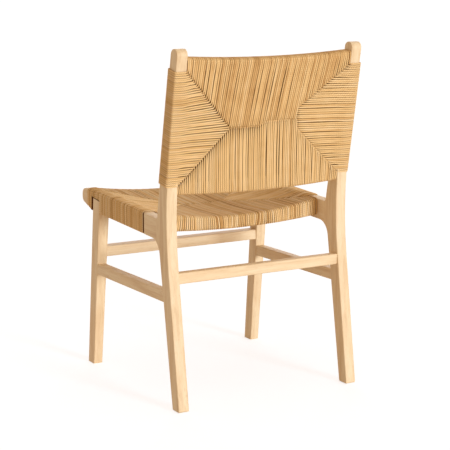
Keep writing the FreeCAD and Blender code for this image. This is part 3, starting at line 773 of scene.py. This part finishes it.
def dress_frame():
    """Each wooden piece gets beech whose grain runs along it."""
    grain = {
        "Z": ["rear_leg_left", "rear_leg_right", "front_leg_left", "front_leg_right"],
        "Y": ["side_seat_rail_left", "side_seat_rail_right", "side_stretcher_left", "side_stretcher_right"],
        "X": ["front_seat_rail", "rear_seat_rail", "back_top_rail", "back_bottom_rail",
              "front_stretcher", "rear_stretcher", "front_leg_dowels"],
    }
    for axis, names in grain.items():
        for i, name in enumerate(names):
            finish_node(name, soaped_beech("soaped_beech_" + name, axis, i + ord(axis)))
    steel = drawn_steel("drawn_steel_tack")
    for name in ("seat_cord_tacks", "back_cord_tacks"):
        finish_node(name, steel)


def make_weaves():
    """The woven seat and back, each with its strands and its filling."""
    cord, filling = twisted_paper_cord("twisted_paper_cord"), packed_paper_painted_dark("packed_paper_painted_dark")
    seat = cord_mesh("seat_weave_strands", seat_strands())
    back = cord_mesh("back_weave_strands", back_strands())

    def seat_fill(top):
        def place(u, v):
            x = u * fill_half_w
            y = rail_cord_y[0] + fill_inset + v * (rail_cord_y[1] - rail_cord_y[0] - 2 * fill_inset)
            return x, y, seat_face(x, y, top) + (-fill_deep if top else fill_deep)
        return place

    def back_fill(side):
        def place(u, v):
            x, s = u * fill_half_w, fill_s[0] + v * (fill_s[1] - fill_s[0])
            return back_place(x, back_face(x, s, side) - side * fill_deep, s)
        return place

    seat_core = slab("seat_weave_filling", seat_fill(True), seat_fill(False), columns=25, rows=19)
    back_core = slab("back_weave_filling", back_fill(1), back_fill(-1), columns=25, rows=17)
    for piece, core, node in ((seat, seat_core, "seat_weave"), (back, back_core, "back_weave")):
        piece.data.materials.append(cord)
        core.data.materials.append(filling)
        for each in (piece, core):
            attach(each, "root")
        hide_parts(node)
    shadow = shadow_sheet_finish("painted_shadow_sheet")
    for side in (1, -1):
        # Each side gets its dark sheets of painted shadow.
        paper = gap_shadow_sheet(side)
        paper.data.materials.append(shadow)
        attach(paper, "root")


# Studio

floor_glow = 0.6                # to the camera the floor is partly white by itself, and partly lit,
floor_shade = (1.66, 1.9, 2.4, 1.0)     # so that it holds a faint shadow
view_azimuth = math.radians(150.4)
view_elevation = math.radians(11.1)
view_distance = 3.717
view_aim = Vector((0, 0.0415, 0.3886))
lens_mm = 118.9
sensor_mm = 36.0


def sun_lamp(name, toward, strength, spread, colour):
    """Lamp as far off as the sun, toward a direction, whose shadows soften over a spread in degrees."""
    data = bpy.data.lights.new(name, "SUN")
    data.energy, data.angle, data.color = strength, math.radians(spread), colour
    lamp = bpy.data.objects.new(name, data)
    lamp.rotation_euler = Vector(toward).to_track_quat("Z", "Y").to_euler()
    bpy.context.scene.collection.objects.link(lamp)


def white_when_seen(owner, dim, bright):
    """A shader that is bright to the camera and in reflections, and dim as a source of bounced light."""
    path = add_node(owner, "ShaderNodeLightPath")
    seen = add_node(owner, "ShaderNodeMath", [(0, path, "Is Camera Ray"), (1, path, "Is Glossy Ray")],
                    operation="MAXIMUM")
    return add_node(owner, "ShaderNodeMixShader", [(0, seen, "Value"), (1, dim, 0), (2, bright, 0)])


def studio():
    """White floor and surroundings, a low key lamp behind the chair's right, and a soft fill before it."""
    bpy.ops.mesh.primitive_plane_add(size=60)
    floor = bpy.context.object
    floor.name = "floor"
    paint = bpy.data.materials.new("white_floor")
    paint.use_nodes = True
    paint.node_tree.nodes.remove(paint.node_tree.nodes["Principled BSDF"])
    bounce = add_node(paint, "ShaderNodeBsdfDiffuse", in_Color=linear("E8E0D6"))
    lit = add_node(paint, "ShaderNodeBsdfDiffuse", in_Color=floor_shade)
    glow = add_node(paint, "ShaderNodeEmission", in_Color=(1.0, 1.0, 1.0, 1.0))
    pale = add_node(paint, "ShaderNodeMixShader", [(1, lit, 0), (2, glow, 0)], in_0=floor_glow)
    both = white_when_seen(paint, bounce, pale)
    paint.node_tree.links.new(both.outputs[0], paint.node_tree.nodes["Material Output"].inputs["Surface"])
    floor.data.materials.append(paint)

    world = bpy.data.worlds.new("studio")
    bpy.context.scene.world = world
    world.use_nodes = True
    fill = add_node(world, "ShaderNodeBackground", in_Color=linear("FFE3C4"), in_Strength=0.6)
    seen = add_node(world, "ShaderNodeBackground", in_Color=(1.0, 1.0, 1.0, 1.0), in_Strength=1.0)
    both = white_when_seen(world, fill, seen)
    world.node_tree.links.new(both.outputs[0], world.node_tree.nodes["World Output"].inputs["Surface"])
    sun_lamp("key", toward=(-0.24, 0.965, 0.1), strength=2.18, spread=14, colour=(0.95, 0.985, 1.0))
    sun_lamp("front_fill", toward=(-0.4, -0.9, 0.12), strength=1.0, spread=50, colour=(1.0, 0.99, 0.97))


def camera():
    """A long lens behind the sitter's left, a little higher than the chair."""
    data = bpy.data.cameras.new("camera")
    data.lens, data.sensor_width = lens_mm, sensor_mm
    cam = bpy.data.objects.new("camera", data)
    level = math.cos(view_elevation)
    back = Vector((math.sin(view_azimuth) * level,
                   -math.cos(view_azimuth) * level,
                   math.sin(view_elevation)))
    cam.location = view_aim + back * view_distance
    cam.rotation_euler = (-back).to_track_quat("-Z", "Y").to_euler()
    bpy.context.scene.collection.objects.link(cam)
    bpy.context.scene.camera = cam


dress_frame()
make_weaves()
studio()
camera()
bpy.context.scene.view_settings.view_transform = "Standard"
